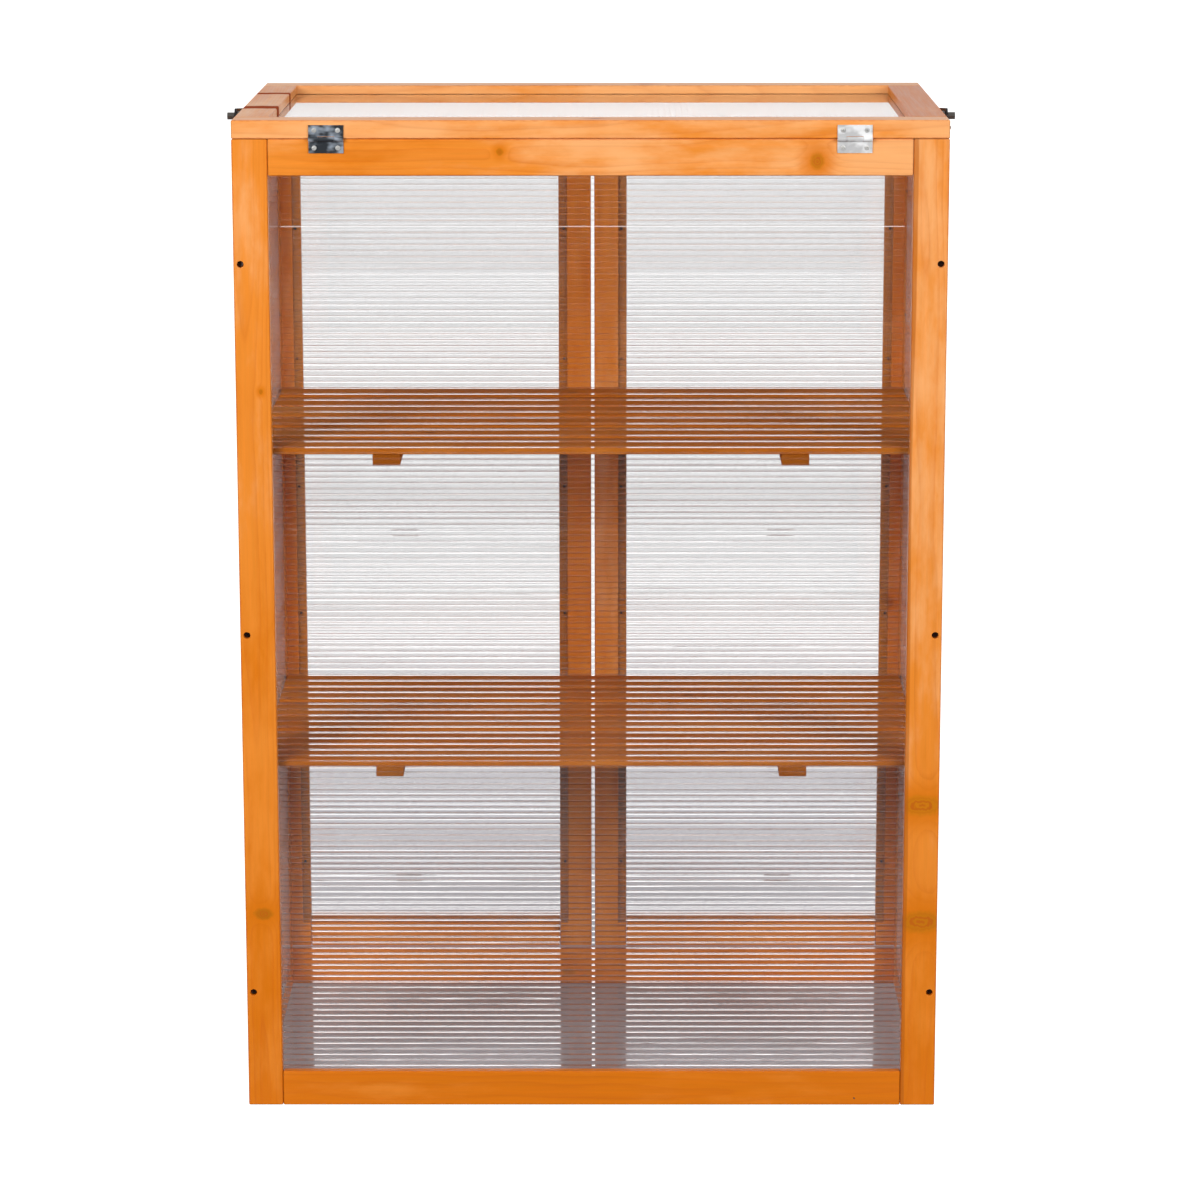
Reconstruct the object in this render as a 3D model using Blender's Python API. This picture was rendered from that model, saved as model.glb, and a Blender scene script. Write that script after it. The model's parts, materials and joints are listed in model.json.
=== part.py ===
"""A tall wooden cold frame: a framed cabinet with twin-wall sheets, a hinged lid, double doors and two shelves.

Metres, +Z up. The origin is on the ground under the middle of the cabinet. The back panel, which carries
the lid's hinges, faces -Y and the doors face +Y. Left is -X and right is +X, as seen from behind.
"""

import math

import bmesh
import bpy
from mathutils import Matrix, Vector

# Driving dimensions
WIDTH = 0.760
DEPTH = 0.470
HEIGHT = 1.090
LID_THICKNESS = 0.0197
BOARD_THICKNESS = 0.015
STILE_WIDTH = 0.038
RAIL_HEIGHT = 0.039
SILL_HEIGHT = 0.044
DOOR_GAP = 0.004
CHAMFER = 0.0010
TOUCH_GAP = 0.0003

# Sheets and the pockets that hold them
SHEET_THICKNESS = 0.004
POCKET_REACH = 0.010
POCKET_DEPTH = 0.0046
LID_POCKET_DEPTH = 0.0100

# Shelves
SHELF_TOPS = {"lower_shelf": 0.391, "upper_shelf": 0.737}
SHELF_DEPTH = 0.414
SHELF_BACK_GAP = 0.0025
SHELF_SIDE_GAP = 0.001
SLAT_COUNT = 6
SLAT_GAP = 0.012
SLAT_THICKNESS = 0.008
BATTEN_WIDTH = 0.030
BATTEN_HEIGHT = 0.012
BATTEN_OFFSET = 0.2205
CLEAT_SIZE = 0.015
CLEAT_LENGTH = 0.410

# Butt hinges: the same pattern on the lid and on the doors
HINGE_LENGTH = 0.037
LEAF_WIDTH = 0.0148
LEAF_THICKNESS = 0.0012
KNUCKLE_RADIUS = 0.0026
KNUCKLE_LENGTHS = (0.0098, 0.0174, 0.0098)
HINGE_PIN_RADIUS = 0.0012
HINGE_PIN_CLEARANCE = 0.00008
PIN_STAND_OFF = 0.0030
LID_HINGE_OFFSET = 0.2795
DOOR_HINGE_HEIGHTS = {"lower": 0.170, "upper": 0.900}

# Lid stays
STAY_BACK_OFFSET = 0.145
STAY_PIVOT_HEIGHT = 1.0813
STAY_LENGTH = 0.310
STAY_WIDTH = 0.0165
STAY_THICKNESS = 0.0025
STAY_STAND_OFF = 0.0058
STAY_SLOPE = math.radians(5)
STAY_HOLE_RADIUS = 0.0028
STAY_HOLE_PITCH = 0.020
STAY_HOLE_COUNT = 4
BOLT_RADIUS = 0.0025
COLLAR_RADIUS = 0.0050
NUT_ACROSS_FLATS = 0.0075
SIDE_REACH = 0.0165
STUD_BACK_OFFSET = 0.300
STUD_HEIGHT = 1.050
STUD_RADIUS = 0.0022
STUD_REACH = 0.0046

# Turn button that keeps the doors shut
BUTTON_HEIGHT = 0.540
BUTTON_LENGTH = 0.060
BUTTON_WIDTH = 0.014
BUTTON_THICKNESS = 0.0025
BUTTON_SCREW_RADIUS = 0.0020
BUTTON_HEAD_RADIUS = 0.0042
FRONT_REACH = PIN_STAND_OFF + KNUCKLE_RADIUS

ROUND_STEPS = 20
CUT_MARGIN = 0.004

BODY_TOP = HEIGHT - LID_THICKNESS - TOUCH_GAP
LID_BOTTOM = HEIGHT - LID_THICKNESS
HALF_WIDTH = WIDTH / 2
HALF_DEPTH = DEPTH / 2
INNER_HALF_DEPTH = HALF_DEPTH - BOARD_THICKNESS
INNER_HALF_WIDTH = HALF_WIDTH - BOARD_THICKNESS
DOOR_BOTTOM = SILL_HEIGHT + DOOR_GAP
DOOR_TOP = BODY_TOP - RAIL_HEIGHT - DOOR_GAP

X, Y, Z = Vector((1, 0, 0)), Vector((0, 1, 0)), Vector((0, 0, 1))


def clear_scene():
    for item in list(bpy.data.objects):
        bpy.data.objects.remove(item)


def make_material(name, colour, roughness, metallic=0.0, alpha=1.0):
    made = bpy.data.materials.new(name)
    made.use_nodes = True
    shader = made.node_tree.nodes["Principled BSDF"]
    shader.inputs["Base Color"].default_value = (*colour, 1.0)
    shader.inputs["Roughness"].default_value = roughness
    shader.inputs["Metallic"].default_value = metallic
    shader.inputs["Alpha"].default_value = alpha
    return made


def mesh_of(bm, name):
    bmesh.ops.recalc_face_normals(bm, faces=bm.faces)
    mesh = bpy.data.meshes.new(name)
    bm.to_mesh(mesh)
    bm.free()
    return mesh


def box_mesh(low, high, chamfer=0.0):
    """A box between two corners, with its edges chamfered."""
    low, high = Vector(low), Vector(high)
    bm = bmesh.new()
    bmesh.ops.create_cube(bm, size=1.0)
    size = high - low
    bmesh.ops.scale(bm, vec=size, verts=bm.verts)
    bmesh.ops.translate(bm, vec=(low + high) / 2, verts=bm.verts)
    if chamfer:
        bmesh.ops.bevel(bm, geom=list(bm.edges), offset=chamfer, segments=1, affect="EDGES")
    return mesh_of(bm, "box")


def turned_mesh(axis, start, end, radius, steps=ROUND_STEPS, phase=0.0):
    """A cylinder, or a prism with few steps, from start to end along a world axis, centred on that axis."""
    bm = bmesh.new()
    bmesh.ops.create_cone(
        bm, cap_ends=True, segments=steps, radius1=radius, radius2=radius, depth=end - start
    )
    turn = Z.rotation_difference(axis).to_matrix().to_4x4() @ Matrix.Rotation(phase, 4, "Z")
    shift = Matrix.Translation(axis * (start + end) / 2)
    bmesh.ops.transform(bm, matrix=shift @ turn, verts=bm.verts)
    return mesh_of(bm, "turned")


def strip_mesh(along, across, thick, length, width, thickness):
    """A flat bar with round ends, from the centre of one end to that of the other, its inner face at 0."""
    bm = bmesh.new()
    half = ROUND_STEPS // 2
    outline = []
    for end, first in ((length, -math.pi / 2), (0.0, math.pi / 2)):
        for step in range(half + 1):
            angle = first + math.pi * step / half
            outline.append((end + width / 2 * math.cos(angle), width / 2 * math.sin(angle)))
    verts = [bm.verts.new(along * u + across * v) for u, v in outline]
    face = bm.faces.new(verts)
    made = bmesh.ops.extrude_face_region(bm, geom=[face])
    moved = [item for item in made["geom"] if isinstance(item, bmesh.types.BMVert)]
    bmesh.ops.translate(bm, vec=thick * thickness, verts=moved)
    return mesh_of(bm, "strip")


def moved_mesh(mesh, offset):
    mesh.transform(Matrix.Translation(offset))
    return mesh


def combined(base, operation, others):
    """The mesh that base becomes after a Boolean with each of the other meshes."""
    target = bpy.data.objects.new("boolean_target", base)
    helpers = [bpy.data.objects.new("boolean_helper", other) for other in others]
    for item in (target, *helpers):
        bpy.context.scene.collection.objects.link(item)
    for helper in helpers:
        modifier = target.modifiers.new("boolean", "BOOLEAN")
        modifier.operation = operation
        modifier.object = helper
    graph = bpy.context.evaluated_depsgraph_get()
    result = bpy.data.meshes.new_from_object(target.evaluated_get(graph))
    for item in (target, *helpers):
        bpy.data.objects.remove(item)
    return result


def pivot(name, location):
    """An empty on a joint's axis, which carries what moves with the joint."""
    made = bpy.data.objects.new(name, None)
    made.empty_display_size = 0.03
    made.location = location
    bpy.context.scene.collection.objects.link(made)
    return made


def place(name, mesh, material, parent=None):
    """One sub-part from a mesh in world coordinates, with its origin on its parent's joint axis."""
    origin = parent.location if parent else Vector((0, 0, 0))
    mesh.transform(Matrix.Translation(-origin))
    mesh.name = name
    mesh.materials.clear()
    mesh.materials.append(material)
    made = bpy.data.objects.new(name, mesh)
    made.parent = parent
    bpy.context.scene.collection.objects.link(made)
    return made


def framed_panel(names, corner, across, along, inward, size, material, sheet_material, options, parent=None):
    """Four boards round a sheet. The first two run the whole length, the other two fit between them.

    corner is the panel's outer corner, and across, along and inward are its world directions: from the
    first through board to the second, along the through boards, and from the outer face to the inner one.
    """
    width, length = size
    thickness = options.get("thickness", BOARD_THICKNESS)
    through = options.get("through", STILE_WIDTH)
    between = options.get("between", RAIL_HEIGHT)
    pocket_depth = options.get("pocket_depth", POCKET_DEPTH)

    def box(low, high, chamfer=0.0):
        ends = [corner + across * u + along * v + inward * w for u, v, w in (low, high)]
        return box_mesh(*(Vector(map(pick, *ends)) for pick in (min, max)), chamfer)

    reach = POCKET_REACH
    floor = thickness - pocket_depth
    left, right = through, width - through
    bottom, top = between, length - between
    boards = (
        ((0, 0, 0), (left, length, thickness)),
        ((right, 0, 0), (width, length, thickness)),
        ((left + TOUCH_GAP, 0, 0), (right - TOUCH_GAP, bottom, thickness)),
        ((left + TOUCH_GAP, top, 0), (right - TOUCH_GAP, length, thickness)),
    )
    for name, (low, high) in zip(names, boards):
        pocket = box(
            (left - reach, bottom - reach, floor),
            (right + reach, top + reach, thickness + CUT_MARGIN),
        )
        place(name, combined(box(low, high, CHAMFER), "DIFFERENCE", [pocket]), material, parent)
    edge = reach - TOUCH_GAP
    face = floor + TOUCH_GAP
    sheet = box((left - edge, bottom - edge, face), (right + edge, top + edge, face + SHEET_THICKNESS))
    place(names[4], sheet, sheet_material, parent)


def panel_names(prefix, boards):
    return [f"{prefix}_{board}" for board in (*boards, "sheet")]


def build_cabinet(wood, clear):
    back = panel_names("back", ("left_stile", "right_stile", "bottom_rail", "top_rail"))
    corner = Vector((-HALF_WIDTH, -HALF_DEPTH, 0))
    framed_panel(back, corner, X, Z, Y, (WIDTH, BODY_TOP), wood, clear, {})
    side_boards = ("rear_stile", "front_stile", "bottom_rail", "top_rail")
    back_edge = -INNER_HALF_DEPTH + TOUCH_GAP
    side_length = 2 * (INNER_HALF_DEPTH - TOUCH_GAP)
    for side, sign in (("left", -1), ("right", 1)):
        corner = Vector((sign * HALF_WIDTH, back_edge, 0))
        names = panel_names(f"{side}_side", side_boards)
        framed_panel(names, corner, Y, Z, -sign * X, (side_length, BODY_TOP), wood, clear, {})
    for name, bottom, top in (
        ("front_sill_rail", 0, SILL_HEIGHT),
        ("front_head_rail", BODY_TOP - RAIL_HEIGHT, BODY_TOP),
    ):
        low = (-HALF_WIDTH, INNER_HALF_DEPTH, bottom)
        place(name, box_mesh(low, (HALF_WIDTH, HALF_DEPTH, top), CHAMFER), wood)


def build_lid(wood, clear, parent):
    boards = ("rear_rail", "front_rail", "left_rail", "right_rail")
    corner = Vector((-HALF_WIDTH, -HALF_DEPTH, HEIGHT))
    options = {"thickness": LID_THICKNESS, "between": STILE_WIDTH, "pocket_depth": LID_POCKET_DEPTH}
    framed_panel(panel_names("lid", boards), corner, Y, X, -Z, (DEPTH, WIDTH), wood, clear, options, parent)


def build_door(side, sign, wood, clear, parent):
    boards = ("hinge_stile", "meeting_stile", "bottom_rail", "top_rail")
    corner = Vector((sign * HALF_WIDTH, HALF_DEPTH, DOOR_BOTTOM))
    size = (HALF_WIDTH - DOOR_GAP / 2, DOOR_TOP - DOOR_BOTTOM)
    options = {"thickness": BOARD_THICKNESS - TOUCH_GAP}
    names = panel_names(f"{side}_door", boards)
    framed_panel(names, corner, -sign * X, Z, -Y, size, wood, clear, options, parent)


def build_shelf(name, wood, parent):
    """Slats that run from side to side, joined by two battens under them."""
    top = SHELF_TOPS[name]
    reach = INNER_HALF_WIDTH - SHELF_SIDE_GAP
    back = -INNER_HALF_DEPTH + SHELF_BACK_GAP
    slat_width = (SHELF_DEPTH - (SLAT_COUNT - 1) * SLAT_GAP) / SLAT_COUNT
    pieces = []
    for index in range(SLAT_COUNT):
        start = back + index * (slat_width + SLAT_GAP)
        low = (-reach, start, top - SLAT_THICKNESS)
        pieces.append(box_mesh(low, (reach, start + slat_width, top), CHAMFER))
    battens = []
    for sign in (-1, 1):
        centre = sign * BATTEN_OFFSET
        bottom = top - SLAT_THICKNESS - BATTEN_HEIGHT
        low = (centre - BATTEN_WIDTH / 2, back + CHAMFER, bottom)
        high = (centre + BATTEN_WIDTH / 2, back + SHELF_DEPTH - CHAMFER, top - SLAT_THICKNESS / 2)
        battens.append(box_mesh(low, high))
    place(name, combined(battens[0], "UNION", [*pieces, battens[1]]), wood, parent)


def build_cleats(wood):
    for shelf, top in SHELF_TOPS.items():
        for side, sign in (("left", -1), ("right", 1)):
            high_z = top - SLAT_THICKNESS - TOUCH_GAP
            outer = sign * (INNER_HALF_WIDTH - TOUCH_GAP)
            inner = outer - sign * CLEAT_SIZE
            start = -INNER_HALF_DEPTH + SHELF_BACK_GAP
            low = (min(outer, inner), start, high_z - CLEAT_SIZE)
            high = (max(outer, inner), start + CLEAT_LENGTH, high_z)
            place(f"{shelf}_{side}_cleat", box_mesh(low, high, CHAMFER), wood)


def leaf_mesh(sign, outer_knuckles):
    """A hinge leaf with its pin along X, its plate towards sign * Z and its wood face towards -Y."""
    half = HINGE_LENGTH / 2
    clear = KNUCKLE_RADIUS + TOUCH_GAP
    inner = -PIN_STAND_OFF + TOUCH_GAP
    outer = inner + LEAF_THICKNESS
    middle = KNUCKLE_LENGTHS[1] / 2
    if outer_knuckles:
        spans = [(-half, -middle - TOUCH_GAP / 2), (middle + TOUCH_GAP / 2, half)]
    else:
        spans = [(-middle + TOUCH_GAP / 2, middle - TOUCH_GAP / 2)]

    def plate(start, end, near, far):
        ends = sorted((sign * near, sign * far))
        return box_mesh((start, inner, ends[0]), (end, outer, ends[1]))

    parts = []
    for start, end in spans:
        parts.append(plate(start, end, 0.0, clear + LEAF_THICKNESS))
        parts.append(turned_mesh(X, start, end, KNUCKLE_RADIUS))
    leaf = combined(plate(-half, half, clear, LEAF_WIDTH), "UNION", parts)
    bore = turned_mesh(X, -half - CUT_MARGIN, half + CUT_MARGIN, HINGE_PIN_RADIUS + HINGE_PIN_CLEARANCE)
    return combined(leaf, "DIFFERENCE", [bore])


def hinge_turn(outward, leaf_direction):
    """The turn from a leaf's own axes to the world's: its outer face and its moving leaf's direction."""
    rows = (outward.cross(leaf_direction), outward, leaf_direction)
    return Matrix(rows).transposed().to_4x4()


def build_hinge(prefix, centre, turn, zinc, names, parent):
    """One butt hinge: a fixed leaf with the middle knuckle, a moving leaf with the outer two, and its pin."""
    fixed_name, moving_name = names
    where = Matrix.Translation(centre) @ turn
    for name, sign, outer_knuckles, holder in (
        (fixed_name, -1, False, None),
        (moving_name, 1, True, parent),
    ):
        mesh = leaf_mesh(sign, outer_knuckles)
        mesh.transform(where)
        place(f"{prefix}_{name}", mesh, zinc, holder)


def build_hinge_pin(name, centre, turn, zinc, parent):
    half = HINGE_LENGTH / 2
    mesh = turned_mesh(X, -half, half, HINGE_PIN_RADIUS)
    mesh.transform(Matrix.Translation(centre) @ turn)
    place(name, mesh, zinc, parent)


def build_lid_hinges(zinc, parent):
    turn = hinge_turn(-Y, Z)
    for side, sign in (("left", -1), ("right", 1)):
        centre = parent.location + X * sign * LID_HINGE_OFFSET
        build_hinge(f"lid_{side}_hinge", centre, turn, zinc, ("cabinet_leaf", "lid_leaf"), parent)
        build_hinge_pin(f"lid_{side}_hinge_pin", centre, turn, zinc, parent)


def build_door_hinges(side, sign, zinc, parent):
    turn = hinge_turn(sign * X, Y)
    for level, height in DOOR_HINGE_HEIGHTS.items():
        centre = Vector((parent.location.x, parent.location.y, height))
        prefix = f"{side}_door_{level}_hinge"
        build_hinge(prefix, centre, turn, zinc, ("cabinet_leaf", "door_leaf"), parent)


def build_stay(side, sign, steel, zinc, lid_pivot, stay_pivot):
    """A flat arm on a bolt at the lid's side, and the stud on the cabinet that its end hooks over."""
    outward = sign * X
    face = Vector((sign * HALF_WIDTH, stay_pivot.location.y, stay_pivot.location.z))
    along = Y * math.cos(STAY_SLOPE) - Z * math.sin(STAY_SLOPE)
    across = outward.cross(along)
    arm = strip_mesh(along, across, outward, STAY_LENGTH, STAY_WIDTH, STAY_THICKNESS)
    cutters = []
    for index in range(STAY_HOLE_COUNT + 1):
        at = STAY_LENGTH - (index - 1) * STAY_HOLE_PITCH if index else 0.0
        cutter = turned_mesh(outward, -CUT_MARGIN, STAY_THICKNESS + CUT_MARGIN, STAY_HOLE_RADIUS)
        cutters.append(moved_mesh(cutter, along * at))
    arm = moved_mesh(combined(arm, "DIFFERENCE", cutters), face + outward * STAY_STAND_OFF)
    place(f"{side}_stay_arm", arm, steel, stay_pivot)

    nut_start = STAY_STAND_OFF + STAY_THICKNESS + TOUCH_GAP
    nut_radius = NUT_ACROSS_FLATS / 2 / math.cos(math.pi / 6)
    collar_end = STAY_STAND_OFF - TOUCH_GAP
    parts = [
        turned_mesh(outward, TOUCH_GAP, collar_end, COLLAR_RADIUS),
        turned_mesh(outward, nut_start, SIDE_REACH, nut_radius, steps=6),
    ]
    shank = turned_mesh(outward, collar_end / 2, nut_start + CHAMFER, BOLT_RADIUS)
    bolt = moved_mesh(combined(parts[0], "UNION", [shank, parts[1]]), face)
    place(f"{side}_stay_bolt", bolt, zinc, lid_pivot)

    stud_face = Vector((sign * HALF_WIDTH, -HALF_DEPTH + STUD_BACK_OFFSET, STUD_HEIGHT))
    stud = turned_mesh(outward, TOUCH_GAP, STUD_REACH, STUD_RADIUS)
    place(f"{side}_stay_stud", moved_mesh(stud, stud_face), zinc)


def build_turn_button(zinc, door_pivot, button_pivot):
    """A flat bar that turns on a screw in the right door's meeting stile."""
    face = button_pivot.location
    start = face - Z * (BUTTON_LENGTH - BUTTON_WIDTH) / 2 + Y * TOUCH_GAP
    length = BUTTON_LENGTH - BUTTON_WIDTH
    bar = moved_mesh(strip_mesh(Z, X, Y, length, BUTTON_WIDTH, BUTTON_THICKNESS), start)
    hole = turned_mesh(Y, -CUT_MARGIN, 2 * CUT_MARGIN, BUTTON_SCREW_RADIUS + TOUCH_GAP / 2)
    bar = combined(bar, "DIFFERENCE", [moved_mesh(hole, face)])
    place("door_turn_button", bar, zinc, button_pivot)
    head_start = TOUCH_GAP * 2 + BUTTON_THICKNESS
    head = turned_mesh(Y, head_start, FRONT_REACH, BUTTON_HEAD_RADIUS)
    shank = turned_mesh(Y, TOUCH_GAP, head_start + CHAMFER, BUTTON_SCREW_RADIUS)
    screw = moved_mesh(combined(head, "UNION", [shank]), face)
    place("door_turn_button_screw", screw, zinc, door_pivot)


def main():
    clear_scene()
    wood = make_material("varnished_fir", (0.80, 0.30, 0.06), 0.45)
    clear = make_material("twin_wall_sheet", (0.90, 0.92, 0.95), 0.10, alpha=0.35)
    zinc = make_material("zinc_plate", (0.70, 0.71, 0.72), 0.30, metallic=1.0)
    steel = make_material("black_steel", (0.02, 0.02, 0.022), 0.45)

    seam = (BODY_TOP + LID_BOTTOM) / 2
    lid_pivot = pivot("lid_pivot", (0, -HALF_DEPTH - PIN_STAND_OFF, seam))
    build_cabinet(wood, clear)
    build_cleats(wood)
    build_lid(wood, clear, lid_pivot)
    build_lid_hinges(zinc, lid_pivot)
    door_pivots = {}
    for side, sign in (("left", -1), ("right", 1)):
        stay_at = (0, -HALF_DEPTH + STAY_BACK_OFFSET, STAY_PIVOT_HEIGHT)
        stay_pivot = pivot(f"{side}_stay_pivot", stay_at)
        build_stay(side, sign, steel, zinc, lid_pivot, stay_pivot)
        door_at = (sign * (HALF_WIDTH + PIN_STAND_OFF), INNER_HALF_DEPTH + TOUCH_GAP / 2, 0)
        door_pivots[side] = pivot(f"{side}_door_pivot", door_at)
        build_door(side, sign, wood, clear, door_pivots[side])
        build_door_hinges(side, sign, zinc, door_pivots[side])
    button_x = DOOR_GAP / 2 + STILE_WIDTH / 2
    button_pivot = pivot("turn_button_pivot", (button_x, HALF_DEPTH, BUTTON_HEIGHT))
    build_turn_button(zinc, door_pivots["right"], button_pivot)
    for name, top in SHELF_TOPS.items():
        build_shelf(name, wood, pivot(f"{name}_lift", (0, 0, top)))


main()
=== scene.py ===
"""The looks of a tall wooden cold frame: varnished fir, twin-wall sheets, zinc hinges and steel stays.

Metres, +Z up. The back panel with the lid's hinges faces -Y, and the doors face +Y.
"""

import json
import math
import random
from collections import namedtuple

import bmesh
import bpy
from mathutils import Matrix, Vector


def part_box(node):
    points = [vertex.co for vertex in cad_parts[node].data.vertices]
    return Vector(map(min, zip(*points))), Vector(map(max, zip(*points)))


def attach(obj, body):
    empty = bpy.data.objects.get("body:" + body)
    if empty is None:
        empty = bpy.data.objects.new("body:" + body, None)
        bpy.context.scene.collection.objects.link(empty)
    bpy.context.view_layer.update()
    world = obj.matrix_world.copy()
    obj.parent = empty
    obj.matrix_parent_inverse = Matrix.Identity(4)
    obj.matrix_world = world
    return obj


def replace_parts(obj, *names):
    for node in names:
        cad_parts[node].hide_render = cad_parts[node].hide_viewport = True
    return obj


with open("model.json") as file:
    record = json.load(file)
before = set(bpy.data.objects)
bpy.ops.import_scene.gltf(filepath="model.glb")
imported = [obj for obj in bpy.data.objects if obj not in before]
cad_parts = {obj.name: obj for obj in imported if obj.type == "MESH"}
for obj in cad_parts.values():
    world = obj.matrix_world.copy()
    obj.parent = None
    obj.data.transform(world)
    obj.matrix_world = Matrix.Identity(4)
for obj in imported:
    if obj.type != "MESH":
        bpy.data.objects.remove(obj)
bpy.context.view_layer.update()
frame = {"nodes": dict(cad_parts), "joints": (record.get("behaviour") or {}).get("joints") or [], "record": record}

X, Y, Z = Vector((1, 0, 0)), Vector((0, 1, 0)), Vector((0, 0, 1))
SIGNS = {"left": -1, "right": 1}

# Sizes that the frame's own boxes don't give
TOUCH_GAP = 0.0003
LEAF_THICKNESS = 0.0012
FLUTE_PITCH = 0.00645
SKIN_THICKNESS = 0.00040
RIB_THICKNESS = 0.0009
CELL_FILLET = 0.00016


# ---------------------------------------------------------------- shaders


def linear(red, green, blue):
    """A display colour, 0 to 255 a channel, as the linear colour that shaders take."""
    shares = [value / 255 for value in (red, green, blue)]
    return (*(s / 12.92 if s <= 0.04045 else ((s + 0.055) / 1.055) ** 2.4 for s in shares), 1.0)


class Shader:
    """Adds nodes to one material, or to the world, and joins them."""

    def __init__(self, owner):
        owner.use_nodes = True
        self.owner = owner
        self.tree = owner.node_tree
        self.tree.nodes.clear()

    def node(self, kind, inputs=None, **settings):
        made = self.tree.nodes.new("ShaderNode" + kind)
        for key, value in settings.items():
            setattr(made, key, value)
        for key, value in (inputs or {}).items():
            if isinstance(value, bpy.types.NodeSocket):
                self.tree.links.new(value, made.inputs[key])
            else:
                made.inputs[key].default_value = value
        return made

    def math(self, operation, *values):
        return self.node("Math", dict(enumerate(values)), operation=operation).outputs[0]

    def remap(self, value, start, end, low=0.0, high=1.0):
        """The value eased from low at start to high at end, and held beyond them."""
        inputs = {"Value": value, "From Min": start, "From Max": end, "To Min": low, "To Max": high}
        return self.node("MapRange", inputs, interpolation_type="SMOOTHSTEP").outputs["Result"]

    def pushed(self, value, noise, amount):
        """The value moved up or down by a noise, as far as half the amount."""
        return self.math("MULTIPLY_ADD", self.math("SUBTRACT", noise, 0.5), amount, value)

    def length(self, first, second):
        squares = [self.math("MULTIPLY", value, value) for value in (first, second)]
        return self.math("SQRT", self.math("ADD", *squares))

    def mix(self, factor, low, high):
        return self.node("Mix", {0: factor, 6: low, 7: high}, data_type="RGBA").outputs[2]

    def scaled(self, colour, value):
        return self.node("VectorMath", {0: colour, "Scale": value}, operation="SCALE").outputs[0]

    def stretched(self, vector, stretch, shift):
        return self.node("Mapping", {"Vector": vector, "Location": shift, "Scale": stretch}).outputs[0]

    def noise(self, vector, detail=2.0, roughness=0.5):
        inputs = {"Vector": vector, "Scale": 1.0, "Detail": detail, "Roughness": roughness}
        return self.node("TexNoise", inputs).outputs["Fac"]

    def ramp(self, factor, stops):
        """A value from 0 to 1 along a curve of (position, value) stops."""
        made = self.node("ValToRGB", {"Fac": factor})
        elements = made.color_ramp.elements
        while len(elements) < len(stops):
            elements.new(1.0)
        for element, (position, value) in zip(elements, stops):
            element.position = position
            element.color = (value, value, value, 1.0)
        return made.outputs[0]

    def bump(self, height, distance, strength):
        inputs = {"Height": height, "Distance": distance, "Strength": strength}
        return self.node("Bump", inputs).outputs[0]

    def finish(self, surface):
        kind = "OutputWorld" if isinstance(self.owner, bpy.types.World) else "OutputMaterial"
        self.node(kind, {"Surface": surface})
        return self.owner


def new_material(name):
    return Shader(bpy.data.materials.new(name))


def random_shift(chance):
    return tuple(chance.uniform(-9, 9) for _ in range(3))


# Wood colours, as display colours
PEACH = (248, 176, 112)
ORANGE = (236, 140, 46)
AMBER = (220, 118, 2)
LATE_WOOD = (196, 88, 10)
KNOT_DARK = (104, 44, 10)
KNOT_RED = (184, 90, 10)
KNOT_GOLD = (198, 122, 0)
# Painted shadow, for the dark bands across a board
SHADOW_BAND_RED = (158, 54, 10)
STRIP_BROWN = (178, 92, 16)

# How each board that shows most was sawn, its tone from its start to its end (0 is peach, 1 is deep amber),
# its knots (place along the board, place across it, radius, darkness from 0 to 1, and how far a spike knot
# spreads across), its bands of painted shadow (place along it, half width), and the side of a dark strip
# down one edge
QUARTER, FLAT = "quarter", "flat"
BOARD_LOOKS = {
    "back_left_stile": {
        "cut": FLAT,
        "tone": (0.88, 0.82, 0.66, 0.70, 0.34, 0.42, 0.50),
        "knots": ((-0.315, 0.001, 0.0036, 0.25, 2.2), (0.265, 0.008, 0.0016, 0.15, 1.0)),
    },
    "back_right_stile": {
        "cut": FLAT,
        "tone": (0.95, 0.78, 0.42, 0.32, 0.24, 0.20, 0.18),
        "knots": ((-0.192, 0.000, 0.0062, 0.0, 3.2), (-0.324, 0.001, 0.0068, 0.10, 3.0)),
        "strip": -1,
    },
    "back_top_rail": {
        "cut": FLAT,
        "tone": (0.52, 0.62, 0.42, 0.10, 0.30, 0.22, 0.00),
        "knots": ((0.240, -0.004, 0.0040, 0.15, 1.8), (-0.096, 0.006, 0.0020, 0.20, 1.5)),
    },
    "back_bottom_rail": {"cut": FLAT, "tone": (0.98, 1.0, 1.0, 1.0, 1.0), "knots": ()},
    "lid_rear_rail": {
        "cut": QUARTER,
        "tone": (0.22, 0.12, 0.14, 0.20, 0.30, 0.22, 0.12),
        "knots": ((0.005, 0.0, 0.0030, 0.55, 1.0), (-0.133, -0.002, 0.0012, 0.50, 1.0)),
    },
    "lid_front_rail": {
        "cut": QUARTER,
        "tone": (0.02, 0.06, 0.12, 0.06, 0.02),
        "knots": ((0.061, 0.0, 0.0040, 0.4, 1.0),),
    },
    "lid_left_rail": {
        "cut": QUARTER,
        "tone": (0.30, 0.35, 0.30, 0.42, 0.35),
        "knots": (),
        # Two bands of painted shadow across the rail
        "bands": ((0.091, 0.013), (-0.084, 0.021)),
    },
    "lid_right_rail": {"cut": QUARTER, "tone": (0.85, 0.95, 1.0, 0.95, 0.85), "knots": ()},
}


def board_look(name, chance, glossy):
    """The look of a board, or one drawn by chance where none is given."""
    if name in BOARD_LOOKS:
        return BOARD_LOOKS[name]
    # Bare shelf boards take a deeper amber: partly their own duller wood, partly painted shade of the cabinet's
    # inside
    middle = chance.uniform(0.35, 0.75) if glossy else chance.uniform(0.70, 0.95)
    tone = tuple(min(1.0, max(0.0, middle + chance.uniform(-0.18, 0.18))) for _ in range(5))
    knots = []
    for _ in range(chance.choice((0, 1, 1, 2))):
        place = (chance.uniform(-0.4, 0.4), chance.uniform(-0.010, 0.010))
        knots.append((*place, chance.uniform(0.0020, 0.0045), chance.uniform(0.2, 0.6), 1.0))
    return {"cut": chance.choice((QUARTER, FLAT, FLAT)), "tone": tone, "knots": tuple(knots)}


Knot = namedtuple("Knot", "along across radius darkness spread")

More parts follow.
